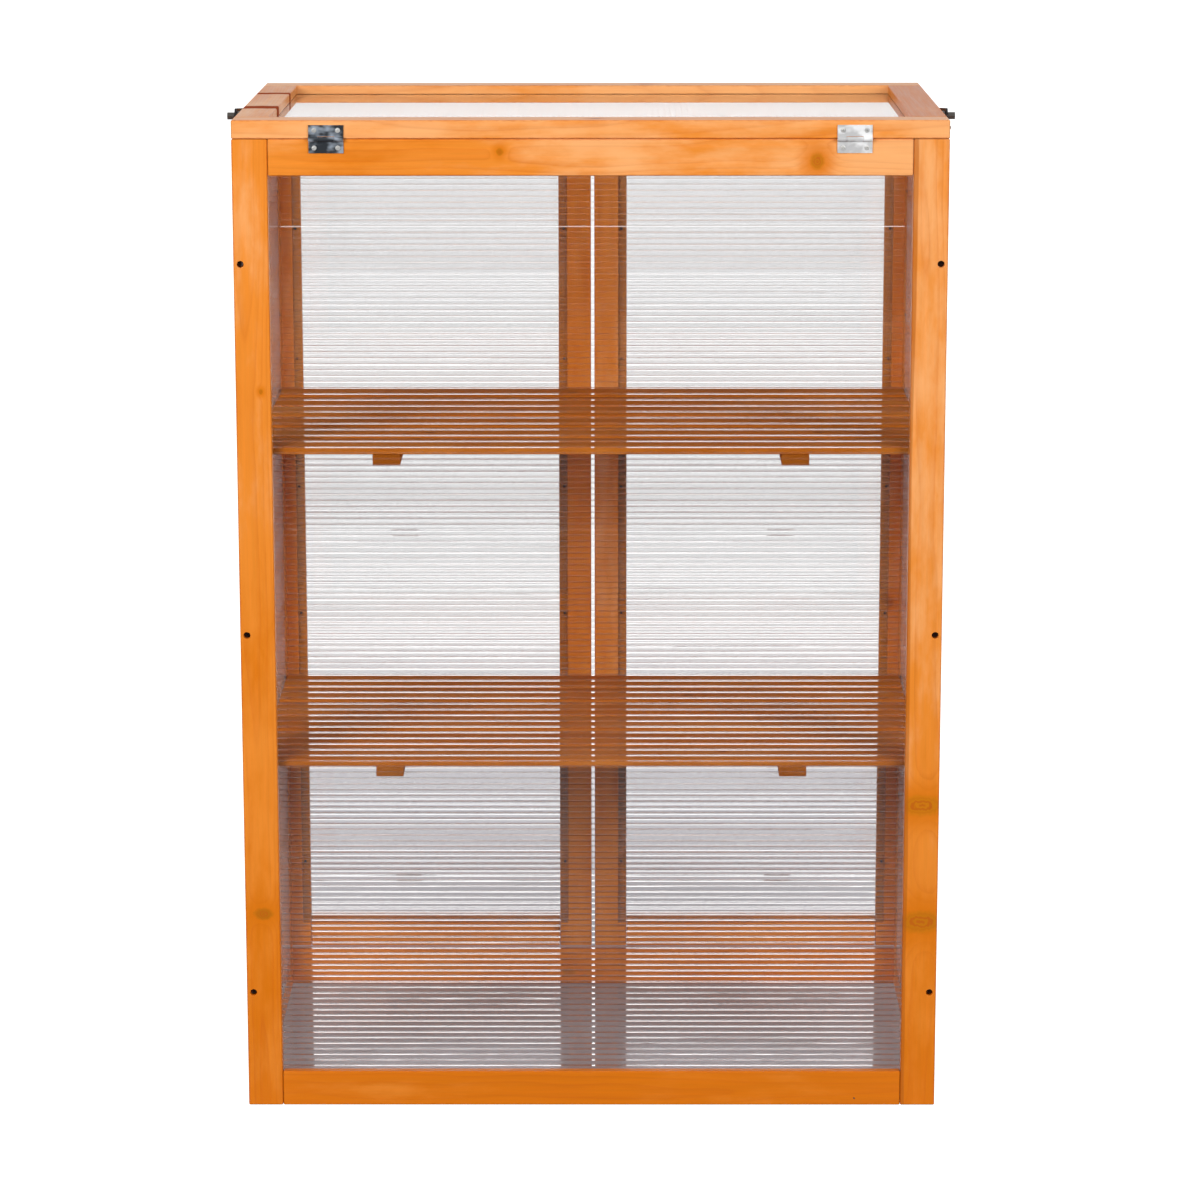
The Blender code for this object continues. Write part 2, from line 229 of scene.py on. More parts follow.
# For each cut, in metres: how far the pith lies to the side of the board's middle and how far from it in
# depth, the least and the greatest distance between rings, and how far the rings sway
CUTS = {
    QUARTER: {"aside": (0.05, 0.09), "deep": (0.0, 0.02), "spacing": (0.0030, 0.0042), "sway": 0.007},
    FLAT: {"aside": (0.0, 0.012), "deep": (0.018, 0.032), "spacing": (0.0026, 0.0036), "sway": 0.011},
}
KNOT_LENGTH_SHARE = 1.45
STRIP_WIDTH, STRIP_FADED = 0.0035, 0.0052
WORN_EDGE_WIDTH = 0.0017


class BoardShader(Shader):
    """The nodes of one fir board, which measure along it, across it and into it from its centre."""

    def __init__(self, name, low, high, glossy):
        super().__init__(bpy.data.materials.new(f"{name}_fir"))
        self.chance = random.Random(name)
        self.look = board_look(name, self.chance, glossy)
        self.knots = [Knot(*values) for values in self.look["knots"]]
        centre, size = (low + high) / 2, high - low
        order = sorted(range(3), key=lambda axis: -size[axis])
        self.half = [size[axis] / 2 for axis in order]
        place = self.node("TexCoord").outputs["Object"]
        parts = self.node("SeparateXYZ", {0: place}).outputs
        self.along, self.across, self.depth = (
            self.math("SUBTRACT", parts[axis], centre[axis]) for axis in order
        )
        self.local = self.node("CombineXYZ", {0: self.along, 1: self.across, 2: self.depth}).outputs[0]

    def grain(self, stretch, detail, roughness=0.5):
        """Noise in the board's own directions, shifted by chance."""
        vector = self.stretched(self.local, stretch, random_shift(self.chance))
        return self.noise(vector, detail, roughness)

    def pith_distance(self, sway, drift):
        """The distance from the pith, swayed along the board, and the spacing of the rings about it."""
        cut, chance = CUTS[self.look["cut"]], self.chance
        pith_aside = chance.choice((-1, 1)) * chance.uniform(*cut["aside"])
        pith_deep = chance.choice((-1, 1)) * chance.uniform(*cut["deep"])
        spacing = chance.uniform(*cut["spacing"])
        aside = self.pushed(self.math("SUBTRACT", self.across, pith_aside), drift, 0.040)
        deep = self.math("SUBTRACT", self.depth, pith_deep)
        radius = self.pushed(self.length(aside, deep), sway, cut["sway"])
        slope = chance.uniform(-0.006, 0.006)
        return self.math("MULTIPLY_ADD", self.along, slope, radius), spacing

    def knot_distances(self, wobble):
        """The distance from each knot, 1 at its ragged edge."""
        found = []
        for knot in self.knots:
            from_along = self.math("SUBTRACT", self.along, knot.along)
            from_along = self.math("DIVIDE", from_along, KNOT_LENGTH_SHARE * knot.radius)
            from_across = self.math("SUBTRACT", self.across, knot.across)
            from_across = self.math("DIVIDE", from_across, knot.spread * knot.radius)
            found.append(self.pushed(self.length(from_along, from_across), wobble, 0.55))
        return found

    def late_wood(self, radius, spacing, distances):
        """The dark part of each ring, from 0 to 1, with the rings pushed aside by each knot."""
        for distance, knot in zip(distances, self.knots):
            fall = self.math("MULTIPLY", self.math("MULTIPLY", distance, distance), -0.12)
            radius = self.math("MULTIPLY_ADD", self.math("EXPONENT", fall), 1.5 * knot.radius, radius)
        ring = self.math("FRACT", self.math("DIVIDE", radius, spacing))
        stops = ((0.0, 0.25), (0.10, 0.0), (0.55, 0.10), (0.82, 0.55), (0.93, 1.0), (1.0, 0.25))
        return self.ramp(ring, stops)

    def base_colour(self, patch):
        """A slow change from peach to amber along the board, with soft patches."""
        position = self.math("MULTIPLY_ADD", self.along, 0.5 / self.half[0], 0.5)
        position = self.pushed(position, patch, 0.30)
        steps = len(self.look["tone"]) - 1
        stops = [(index / steps, value) for index, value in enumerate(self.look["tone"])]
        tone = self.ramp(position, stops)
        tone = self.pushed(tone, patch, 0.85)
        tone = self.pushed(tone, self.grain((14, 42, 42), 4.0, roughness=0.62), 0.80)
        colour = self.mix(self.remap(tone, 0.0, 0.5), linear(*PEACH), linear(*ORANGE))
        return self.mix(self.remap(tone, 0.5, 1.0), colour, linear(*AMBER))

    def with_knots(self, colour, distances):
        """Each knot over the wood: an amber halo about a ringed core."""
        for distance, knot in zip(distances, self.knots):
            colour = self.mix(self.remap(distance, 1.0, 4.6, 0.80, 0.0), colour, linear(*AMBER))
            circle = self.math("SINE", self.math("MULTIPLY", distance, 15.0))
            heart = self.mix(knot.darkness, linear(*KNOT_GOLD), linear(*KNOT_DARK))
            core = self.mix(self.remap(circle, -1.0, 1.0), heart, linear(*KNOT_RED))
            core = self.mix(self.remap(distance, 0.62, 0.98, 0.0, 0.7), core, heart)
            share = 0.72 + 0.25 * knot.darkness
            colour = self.mix(self.remap(distance, 0.80, 1.60, share, 0.0), colour, core)
        return colour

    def shadow_band_share(self, patch):
        """How much of the surface the bands of painted shadow take, from 0 to 1, or None without bands."""
        painted_shadow = None
        for band_along, half_width in self.look.get("bands", ()):
            away = self.pushed(self.math("SUBTRACT", self.along, band_along), patch, 0.020)
            share = self.remap(self.math("ABSOLUTE", away), 0.45 * half_width, half_width, 0.92, 0.0)
            painted_shadow = self.math("MAXIMUM", painted_shadow, share) if painted_shadow else share
        return painted_shadow

    def with_strip(self, colour, sway):
        """A dark strip down one edge, where the board has one."""
        if "strip" not in self.look:
            return colour
        inward = self.math("MULTIPLY_ADD", self.across, -self.look["strip"], self.half[1])
        inward = self.pushed(inward, sway, 0.010)
        share = self.remap(inward, STRIP_WIDTH, STRIP_FADED, 0.62, 0.0)
        return self.mix(share, colour, linear(*STRIP_BROWN))

    def with_worn_edges(self, colour, wobble, level):
        """Varnish darkened along the arrises, and end grain that drank more of it."""
        edge_across = self.math("SUBTRACT", self.half[1], self.math("ABSOLUTE", self.across))
        edge_depth = self.math("SUBTRACT", self.half[2], self.math("ABSOLUTE", self.depth))
        edge = self.pushed(self.math("MAXIMUM", edge_across, edge_depth), wobble, 0.0022)
        share = self.remap(edge, 0.0001, WORN_EDGE_WIDTH, 0.45, 0.0)
        colour = self.mix(share, colour, linear(*LATE_WOOD))
        end = self.math("SUBTRACT", self.half[0], self.math("ABSOLUTE", self.along))
        # The whole board scaled by its level, which on the shelves is partly painted shade of the cabinet's inside
        return self.scaled(colour, self.remap(end, 0.0003, 0.0012, 0.72 * level, level))


def timber(name, low, high, glossy=True, level=1.0):
    """Fir for the board between two corners: growth rings about a pith, fibre, knots, tone and varnish."""
    shader = BoardShader(name, low, high, glossy)
    sway = shader.grain((3.2, 16, 16), 2.0)
    drift = shader.grain((1.1, 4, 4), 1.0)
    radius, spacing = shader.pith_distance(sway, drift)
    wobble = shader.grain((150, 260, 260), 2.0)
    distances = shader.knot_distances(wobble)
    late = shader.late_wood(radius, spacing, distances)
    patch = shader.grain((5.5, 26, 26), 3.0)
    colour = shader.base_colour(patch)
    strength = shader.remap(patch, 0.3, 0.8, 0.12, 0.36)
    colour = shader.mix(shader.math("MULTIPLY", late, strength), colour, linear(*LATE_WOOD))

    # Fibre: fine streaks along the grain
    fine = shader.math("MULTIPLY", shader.grain((26, 1150, 1150), 1.0), 0.10)
    broad = shader.math("MULTIPLY", shader.grain((7, 210, 210), 2.0), 0.16)
    fibre = shader.math("ADD", fine, broad)
    colour = shader.scaled(colour, shader.math("ADD", fibre, 0.87))

    colour = shader.with_knots(colour, distances)
    colour = shader.with_strip(colour, sway)
    colour = shader.with_worn_edges(colour, wobble, level)
    height = shader.math("ADD", shader.math("MULTIPLY", late, 0.5), shader.math("MULTIPLY", fibre, 3.0))
    rough = shader.remap(fibre, 0.05, 0.20, 0.34 if glossy else 0.62, 0.52 if glossy else 0.80)
    surface = shader.node(
        "BsdfPrincipled",
        {
            "Base Color": colour,
            "Roughness": rough,
            "Normal": shader.bump(height, 0.00022, 0.45),
            "Specular IOR Level": 0.32 if glossy else 0.04,
            "Coat Weight": 0.20 if glossy else 0.0,
            "Coat Roughness": 0.16,
        },
    )
    # Painted shadow: where a board has bands, a dark matt red with no gloss over them
    painted_shadow = shader.shadow_band_share(patch)
    if painted_shadow:
        matt = shader.node("BsdfDiffuse", {"Color": linear(*SHADOW_BAND_RED)})
        surface = shader.node("MixShader", {0: painted_shadow, 1: surface.outputs[0], 2: matt.outputs[0]})
    return shader.finish(surface.outputs[0])


def zinc(name, tint, roughness, metallic=1.0, shade=0.80):
    """Zinc plate: faintly brushed, with broad soft patches from its tint down to a shade of it."""
    shader = new_material(name)
    chance = random.Random(name)
    place = shader.node("TexCoord").outputs["Object"]
    mottle = shader.noise(shader.stretched(place, (58, 90, 90), random_shift(chance)), detail=2.0)
    brushed = shader.noise(shader.stretched(place, (90, 2200, 2200), random_shift(chance)), detail=1.0)
    shaded = shader.scaled(linear(*tint)[:3], shade)
    colour = shader.mix(shader.remap(mottle, 0.36, 0.60), linear(*tint), shaded)
    rough = shader.math("MULTIPLY_ADD", mottle, 0.16, roughness)
    height = shader.math("ADD", shader.math("MULTIPLY", brushed, 0.5), mottle)
    surface = shader.node(
        "BsdfPrincipled",
        {
            "Base Color": colour,
            "Metallic": metallic,
            "Roughness": rough,
            "Normal": shader.bump(height, 0.00005, 0.25),
        },
    )
    return shader.finish(surface.outputs[0])


def dark_steel(name, tone, roughness):
    """Black painted steel with a slight orange peel and paler worn patches."""
    shader = new_material(name)
    chance = random.Random(name)
    place = shader.node("TexCoord").outputs["Object"]
    peel = shader.noise(shader.stretched(place, (900, 900, 900), random_shift(chance)), detail=2.0)
    worn = shader.noise(shader.stretched(place, (120, 120, 120), random_shift(chance)), detail=4.0)
    colour = shader.mix(shader.remap(worn, 0.58, 0.76), linear(*tone), linear(92, 90, 92))
    surface = shader.node(
        "BsdfPrincipled",
        {
            "Base Color": colour,
            "Roughness": shader.math("MULTIPLY_ADD", worn, 0.25, roughness),
            "Normal": shader.bump(peel, 0.00008, 0.35),
            "Coat Weight": 0.25,
            "Coat Roughness": 0.25,
        },
    )
    return shader.finish(surface.outputs[0])


# The share of a sheet's surface that scatters light instead of passing it on
CLEAR_HAZE = 0.004
SIDE_HAZE = 0.06


def clear_sheet(name, flute_axis, haze_share):
    """Clear extruded plastic: sharp glass with faint drawing lines along the flutes and a little haze."""
    shader = new_material(name)
    chance = random.Random(name)
    place = shader.node("TexCoord").outputs["Object"]
    stretch = [90.0] * 3
    stretch[flute_axis] = 5.0
    lines = shader.noise(shader.stretched(place, stretch, random_shift(chance)), detail=2.0)
    normal = shader.bump(lines, 0.00020, 0.03)
    glass = shader.node(
        "BsdfGlass",
        {"Color": (0.974, 0.974, 0.976, 1.0), "Roughness": 0.0, "IOR": 1.54, "Normal": normal},
    )
    haze = shader.node("BsdfTranslucent", {"Color": (0.90, 0.90, 0.94, 1.0)})
    amount = shader.remap(lines, 0.3, 0.7, 0.5 * haze_share, 1.5 * haze_share)
    body = shader.node("MixShader", {0: amount, 1: glass.outputs[0], 2: haze.outputs[0]})
    through = shader.node("BsdfTransparent", {"Color": (0.99, 0.99, 0.99, 1.0)})
    shadow = shader.node("LightPath").outputs["Is Shadow Ray"]
    surface = shader.node("MixShader", {0: shadow, 1: body.outputs[0], 2: through.outputs[0]})
    return shader.finish(surface.outputs[0])


# ---------------------------------------------------------------- meshes


def mesh_of(bm, name):
    bmesh.ops.recalc_face_normals(bm, faces=bm.faces)
    mesh = bpy.data.meshes.new(name)
    bm.to_mesh(mesh)
    bm.free()
    return mesh


def place_piece(name, mesh, material, body):
    """A new piece in the frame's own coordinates, which rides on a body."""
    mesh.materials.clear()
    mesh.materials.append(material)
    made = bpy.data.objects.new(name, mesh)
    bpy.context.scene.collection.objects.link(made)
    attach(made, body)
    return made


def body_of(node):
    for body, members in frame["record"]["behaviour"]["bodies"].items():
        if node in members:
            return body
    raise ValueError(node)


def smooth_by_angle(mesh, degrees):
    mesh.polygons.foreach_set("use_smooth", [True] * len(mesh.polygons))
    mesh.set_sharp_from_angle(angle=math.radians(degrees))


BOARD_ROUND_OVER = 0.0009


def board_mesh(low, high):
    """A planed board with rounded arrises."""
    bm = bmesh.new()
    bmesh.ops.create_cube(bm, size=1.0)
    bmesh.ops.scale(bm, vec=high - low, verts=bm.verts)
    bmesh.ops.translate(bm, vec=(low + high) / 2, verts=bm.verts)
    edges = list(bm.edges)
    bmesh.ops.bevel(bm, geom=edges, offset=BOARD_ROUND_OVER, segments=3, profile=0.5, affect="EDGES")
    mesh = mesh_of(bm, "board")
    smooth_by_angle(mesh, 32)
    return mesh


def turned_mesh(profile, steps=24):
    """A solid turned about Z from (radius, height) points that start and end on the axis."""
    bm = bmesh.new()
    rings = []
    for radius, height in profile:
        if radius < 1e-7:
            rings.append([bm.verts.new((0, 0, height))] * steps)
            continue
        ring = []
        for step in range(steps):
            angle = 2 * math.pi * step / steps
            ring.append(bm.verts.new((radius * math.cos(angle), radius * math.sin(angle), height)))
        rings.append(ring)
    for lower, upper in zip(rings, rings[1:]):
        for step in range(steps):
            corners = [lower[step], lower[(step + 1) % steps], upper[(step + 1) % steps], upper[step]]
            bm.faces.new(list(dict.fromkeys(corners)))
    return mesh_of(bm, "turned")


def carved(mesh, cutters):
    """The mesh that is left of mesh after the cutters are taken from it."""
    target = bpy.data.objects.new("carve_target", mesh)
    helpers = [bpy.data.objects.new("carve_cutter", cutter) for cutter in cutters]
    for item in (target, *helpers):
        bpy.context.scene.collection.objects.link(item)
    for helper in helpers:
        modifier = target.modifiers.new("carve", "BOOLEAN")
        modifier.operation = "DIFFERENCE"
        modifier.object = helper
    graph = bpy.context.evaluated_depsgraph_get()
    result = bpy.data.meshes.new_from_object(target.evaluated_get(graph))
    for item in (target, *helpers):
        bpy.data.objects.remove(item)
    return result


def cross_slot(reach, width, depth, top):
    """The two tapered wedges that make a cross recess, from above top down by depth."""
    wedges = []
    for turn in (0.0, math.pi / 2):
        bm = bmesh.new()
        bmesh.ops.create_cube(bm, size=1.0)
        for vert in bm.verts:
            low = vert.co.z < 0
            taper = 0.45 if low else 1.0
            vert.co.x *= 2 * reach * taper
            vert.co.y *= width * taper
            vert.co.z = top - depth if low else top + depth
        bmesh.ops.rotate(bm, verts=bm.verts, cent=(0, 0, 0), matrix=Matrix.Rotation(turn, 3, "Z"))
        wedges.append(mesh_of(bm, "wedge"))
    return wedges


def screw_head_mesh(radius, height, domed=1.0):
    """A round screw head that rises from Z = 0, with a cross recess."""
    profile = [(0, -0.2 * height), (radius, -0.2 * height), (radius, 0.12 * height)]
    for step in range(1, 7):
        angle = math.pi / 2 * step / 6
        rise = 0.12 + 0.88 * math.sin(angle) * domed + 0.88 * (1 - domed) * min(1.0, 2 * step / 6)
        profile.append((radius * math.cos(angle) ** 0.7 if step < 6 else 0, height * min(1.0, rise)))
    head = turned_mesh(profile)
    head = carved(head, cross_slot(radius * 0.62, radius * 0.22, height * 0.55, height))
    smooth_by_angle(head, 35)
    return head


def cluster_mesh(unit, places, outward, chance):
    """Copies of one small mesh at several places, facing outward, each turned by chance."""
    bm = bmesh.new()
    face_out = Z.rotation_difference(outward).to_matrix().to_4x4()
    for point in places:
        turned = Matrix.Rotation(chance.uniform(0, math.pi), 4, "Z")
        copy = unit.copy()
        copy.transform(Matrix.Translation(point) @ face_out @ turned)
        bm.from_mesh(copy)
        bpy.data.meshes.remove(copy)
    mesh = bpy.data.meshes.new("cluster")
    bm.to_mesh(mesh)
    bm.free()
    smooth_by_angle(mesh, 35)
    return mesh


def cell_outline(start, end, near, far):
    """The rounded opening of one cell in the sheet's cross-section, corner by corner."""
    corners = (
        (start + CELL_FILLET, near + CELL_FILLET, math.pi),
        (end - CELL_FILLET, near + CELL_FILLET, 1.5 * math.pi),
        (end - CELL_FILLET, far - CELL_FILLET, 0.0),
        (start + CELL_FILLET, far - CELL_FILLET, 0.5 * math.pi),
    )
    outline = []
    for u, v, first in corners:
        arc = []
        for step in range(3):
            angle = first + math.pi / 4 * step
            arc.append((u + CELL_FILLET * math.cos(angle), v + CELL_FILLET * math.sin(angle)))
        outline.append(arc)
    return outline


def twin_wall_mesh(low, high, flute_axis):
    """A twin-wall sheet: two skins joined by ribs, with open cells that run along the flutes."""
    size = high - low
    thin_axis = min(range(3), key=lambda axis: size[axis])
    pitch_axis = 3 - flute_axis - thin_axis
    count = round(size[pitch_axis] / FLUTE_PITCH)
    pitch = size[pitch_axis] / count
    thickness = size[thin_axis]
    bm = bmesh.new()

    def points(pairs):
        """The two end vertices, near and far along the flutes, of each (pitch, depth) pair."""
        made = []
        for u, v in pairs:
            ends = []
            for flute in (low[flute_axis], high[flute_axis]):
                co = [0.0] * 3
                co[pitch_axis] = low[pitch_axis] + u
                co[thin_axis] = low[thin_axis] + v
                co[flute_axis] = flute
                ends.append(bm.verts.new(co))
            made.append(ends)
        return made

    near = points([(index * pitch, 0.0) for index in range(count + 1)])
    far = points([(index * pitch, thickness) for index in range(count + 1)])

    def wall(first, second):
        bm.faces.new((first[0], second[0], second[1], first[1]))

    for index in range(count):
        wall(near[index], near[index + 1])
        wall(far[index], far[index + 1])
        outline = cell_outline(
            index * pitch + RIB_THICKNESS / 2,
            (index + 1) * pitch - RIB_THICKNESS / 2,
            SKIN_THICKNESS,
            thickness - SKIN_THICKNESS,
        )
        arcs = [points(arc) for arc in outline]
        ring = [pair for arc in arcs for pair in arc]
        for first, second in zip(ring, ring[1:] + ring[:1]):
            wall(first, second)
        outer = (near[index], near[index + 1], far[index + 1], far[index])
        for corner, arc in enumerate(arcs):
            following = (corner + 1) % 4
            for end in (0, 1):
                here = outer[corner][end]
                for first, second in zip(arc, arc[1:]):
                    bm.faces.new((here, first[end], second[end]))
                bm.faces.new((here, arc[-1][end], arcs[following][0][end], outer[following][end]))
    wall(near[0], far[0])
    wall(near[-1], far[-1])
    return mesh_of(bm, "twin_wall")


# ---------------------------------------------------------------- frame nodes that stay


def refine(node, material, bevel, cutters=()):
    """Keeps a frame node, with rounded edges, its cuts and its own material."""
    made = frame["nodes"][node]
    mesh = made.data
    if "custom_normal" in mesh.attributes:
        mesh.attributes.remove(mesh.attributes["custom_normal"])
    mesh.polygons.foreach_set("use_smooth", [True] * len(mesh.polygons))
    weld = made.modifiers.new("weld", "WELD")
    weld.merge_threshold = 0.00001
    flat = made.modifiers.new("flat_faces", "DECIMATE")
    flat.decimate_type = "DISSOLVE"
    flat.angle_limit = math.radians(1.0)
    for cutter in cutters:
        cut = made.modifiers.new("cut", "BOOLEAN")
        cut.operation = "DIFFERENCE"
        cut.object = cutter
    rounded = made.modifiers.new("rounded_edges", "BEVEL")
    rounded.width = bevel
    rounded.segments = 2
    rounded.limit_method = "ANGLE"
    rounded.angle_limit = math.radians(32)
    rounded.harden_normals = True
    mesh.materials.clear()
    mesh.materials.append(material)
    return made


def hidden_cutter(name, mesh):
    made = bpy.data.objects.new(name, mesh)
    made.hide_render = True
    made.display_type = "WIRE"
    bpy.context.scene.collection.objects.link(made)
    return made


SCREW_HOLE_RADIUS = 0.0037
SCREW_HOLE_DEPTH = 0.0060
STILE_SCREW_HEIGHTS = (0.130, 0.533, 0.937)


def recess_cutter(name, places, outward):
    """One cutter for the counterbored holes at several places on a face."""
    profile = (
        (0, -SCREW_HOLE_DEPTH),
        (SCREW_HOLE_RADIUS, -SCREW_HOLE_DEPTH),
        (SCREW_HOLE_RADIUS, -0.0003),
        (SCREW_HOLE_RADIUS + 0.0006, 0.0003),
        (SCREW_HOLE_RADIUS + 0.0006, 0.002),
        (0, 0.002),
    )
    return hidden_cutter(name, cluster_mesh(turned_mesh(profile), places, outward, random.Random(name)))


def wood_nodes():
    held = ("stile", "rail", "cleat")
    return sorted(name for name in frame["nodes"] if name.endswith(held))


def frame_screw_places():
    """Where the counterbored screws sit, for each board that has them, and the way that its face looks."""
    back_low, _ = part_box("back_left_stile")
    _, front_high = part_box("front_head_rail")
    side_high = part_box("right_side_rear_stile")[1].x
    side_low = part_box("right_side_sheet")[0].x
    offset = (side_high + side_low) / 2
    found = {}
    for side, sign in SIGNS.items():
        places = [Vector((sign * offset, back_low.y, height)) for height in STILE_SCREW_HEIGHTS]
        found[f"back_{side}_stile"] = (places, -Y)
    for name in ("front_head_rail", "front_sill_rail"):
        low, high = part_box(name)
        middle = (low.z + high.z) / 2
        places = [Vector((sign * offset, front_high.y, middle)) for sign in SIGNS.values()]
        found[name] = (places, Y)
    return found


def build_boards():
    """Each board of the frame in its own fir, with its counterbored screws."""
    # Near-black heads: partly dark screws, partly painted shade in their deep holes
    black = dark_steel("frame_screw_black", (22, 12, 9), 0.55)
    head = screw_head_mesh(SCREW_HOLE_RADIUS - 0.0003, 0.0012, domed=0.4)
    screws = frame_screw_places()
    for name in wood_nodes():
        low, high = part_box(name)
        cutters = []
        if name in screws:
            places, outward = screws[name]
            cutters.append(recess_cutter(f"{name}_screw_holes", places, outward))
            floor = [point - outward * (SCREW_HOLE_DEPTH - 0.0003) for point in places]
            mesh = cluster_mesh(head, floor, outward, random.Random(name))
            place_piece(f"{name}_screws", mesh, black, body_of(name))
        refine(name, timber(name, low, high), 0.00035, cutters=cutters)


# ---------------------------------------------------------------- sheets, shelves and fittings


def build_sheets():
    """A twin-wall sheet in place of each plain one, with flutes along X in the back and the doors."""
    for name in sorted(frame["nodes"]):
        if not name.endswith("_sheet"):
            continue
        low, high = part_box(name)
        size = high - low
        thin_axis = min(range(3), key=lambda axis: size[axis])
        flute_axis = {0: 1, 1: 0, 2: 1}[thin_axis]
        haze_share = SIDE_HAZE if "_side_" in name else CLEAR_HAZE
        material = clear_sheet(f"{name}_clear", flute_axis, haze_share)
        mesh = twin_wall_mesh(low, high, flute_axis)
        sheet = place_piece(f"{name}_panel", mesh, material, body_of(name))
        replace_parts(sheet, name)
        build_sheet_pins(name, low, high, thin_axis)


PIN_INSET = 0.0035
PIN_SPACING = 0.150
PIN_PROFILE = ((0, -0.0003), (0.0016, -0.0003), (0.0016, 0.0002), (0.0012, 0.0005), (0, 0.0006))


def build_sheet_pins(name, low, high, thin_axis):
    """A row of small pin heads down each long edge of a sheet, on the face towards the inside."""
    middle = (low + high) / 2
    inward = Vector((0, 0, 0))
    inward[thin_axis] = -1.0 if thin_axis == 2 or middle[thin_axis] > 0 else 1.0
    face = low[thin_axis] if inward[thin_axis] < 0 else high[thin_axis]
    axes = [axis for axis in range(3) if axis != thin_axis]
    run = max(axes, key=lambda axis: high[axis] - low[axis])
    cross = axes[0] if run == axes[1] else axes[1]
    count = round((high[run] - low[run]) / PIN_SPACING)
    places = []
    for index in range(count):
        for edge in (low[cross] + PIN_INSET, high[cross] - PIN_INSET):
            point = Vector((0, 0, 0))
            point[run] = low[run] + (high[run] - low[run]) * (index + 0.5) / count
            point[cross] = edge
            point[thin_axis] = face
            places.append(point)
    mesh = cluster_mesh(turned_mesh(PIN_PROFILE, 12), places, inward, random.Random(name))
    steel = dark_steel(f"{name}_pin_steel", (72, 62, 58), 0.4)
    place_piece(f"{name}_pins", mesh, steel, body_of(name))


SLAT_COUNT = 6
SLAT_GAP = 0.012
SLAT_THICKNESS = 0.008
BATTEN_WIDTH = 0.030
BATTEN_OFFSET = 0.2205
BATTEN_INSET = 0.001
# Below 1 it darkens the shelves' wood: partly their duller bare wood, partly painted shade of the cabinet's inside
SHELF_TONE_AND_SHADE_LEVEL = 0.76
NAIL_SHARES = (0.27, 0.73)
SHELF_NAIL_PROFILE = ((0, -0.0004), (0.0011, -0.0004), (0.0011, 0.00008), (0.0008, 0.00016), (0, 0.00020))


def place_shelf_board(label, corners, shelf):
    """A bare board that stands for a part of a shelf."""
    material = timber(label, *corners, glossy=False, level=SHELF_TONE_AND_SHADE_LEVEL)
    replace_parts(place_piece(label, board_mesh(*corners), material, shelf), shelf)


def build_shelf(name):
    """Six slats from side to side on two battens, with a pair of nails through each crossing."""
    low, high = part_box(name)
    slat_width = (high.y - low.y - (SLAT_COUNT - 1) * SLAT_GAP) / SLAT_COUNT
    bottom = high.z - SLAT_THICKNESS
    nails = []
    for index in range(SLAT_COUNT):
        start = low.y + index * (slat_width + SLAT_GAP)
        corners = (Vector((low.x, start, bottom)), Vector((high.x, start + slat_width, high.z)))
        place_shelf_board(f"{name}_slat_{index + 1}", corners, name)
        for sign in SIGNS.values():
            for share in NAIL_SHARES:
                nails.append(Vector((sign * BATTEN_OFFSET, start + share * slat_width, high.z)))
    for side, sign in SIGNS.items():
        centre = sign * BATTEN_OFFSET
        corners = (
            Vector((centre - BATTEN_WIDTH / 2, low.y + BATTEN_INSET, low.z)),
            Vector((centre + BATTEN_WIDTH / 2, high.y - BATTEN_INSET, bottom - TOUCH_GAP / 3)),
        )
        place_shelf_board(f"{name}_{side}_batten", corners, name)
    mesh = cluster_mesh(turned_mesh(SHELF_NAIL_PROFILE, 14), nails, Z, random.Random(name))
    place_piece(f"{name}_nails", mesh, zinc(f"{name}_nail_steel", (128, 96, 70), 0.40), name)


HINGE_SCREW_ALONG = 0.0125
HINGE_SCREW_ACROSS = 0.00925


def build_hinges():
    """Each hinge leaf and pin in its side's zinc, and the two screws of each leaf."""
    # Painted reflections: one zinc drawn twice, dark grey-blue with near-black patches on the left hinges and near
    # white and mostly matt on the right ones
    lit_and_shaded_zinc = {
        "left": zinc("zinc_left", (196, 208, 224), 0.22, 0.50, 0.10),
        "right": zinc("zinc_right", (250, 251, 253), 0.24, 0.15, 0.62),
    }
    screw_zinc = zinc("screw_zinc", (240, 240, 238), 0.22, 0.45)
    head = screw_head_mesh(0.0027, 0.0011)
    for node in sorted(frame["nodes"]):
        if "hinge" not in node or node.endswith("stile"):
            continue
        side = "left" if "left" in node else "right"
        refine(node, lit_and_shaded_zinc[side], 0.00022)
        if node.endswith("_pin"):
            continue
        low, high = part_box(node)
        on_lid = node.startswith("lid")
        joint = "lid_hinge" if on_lid else f"{side}_door_hinge"
        anchor = Vector(next(j for j in frame["joints"] if j["name"] == joint)["pos_m"])
        middle = (low + high) / 2
        if on_lid:
            outward, across = -Y, (Z if node.endswith("lid_leaf") else -Z)
            axis = X
            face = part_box("back_top_rail")[0].y - TOUCH_GAP - LEAF_THICKNESS
            centre = Vector((middle.x, face, anchor.z))
        else:
            outward, across = X * SIGNS[side], (Y if node.endswith("door_leaf") else -Y)
            axis = Z
            face = outward.x * (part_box("right_side_rear_stile")[1].x + TOUCH_GAP + LEAF_THICKNESS)
            centre = Vector((face, anchor.y, middle.z))
        centre += across * HINGE_SCREW_ACROSS
        places = [centre + axis * sign * HINGE_SCREW_ALONG for sign in (-1, 1)]
        mesh = cluster_mesh(head, places, outward, random.Random(node))
        place_piece(f"{node}_screws", mesh, screw_zinc, body_of(node))


LID_SCREW_OFFSET = 0.019
RAIL_NAIL_AT = (0.291, 0.008)
RAIL_NAIL_PROFILE = ((0, -0.0004), (0.0010, -0.0004), (0.0010, 0.00005), (0, 0.00015))


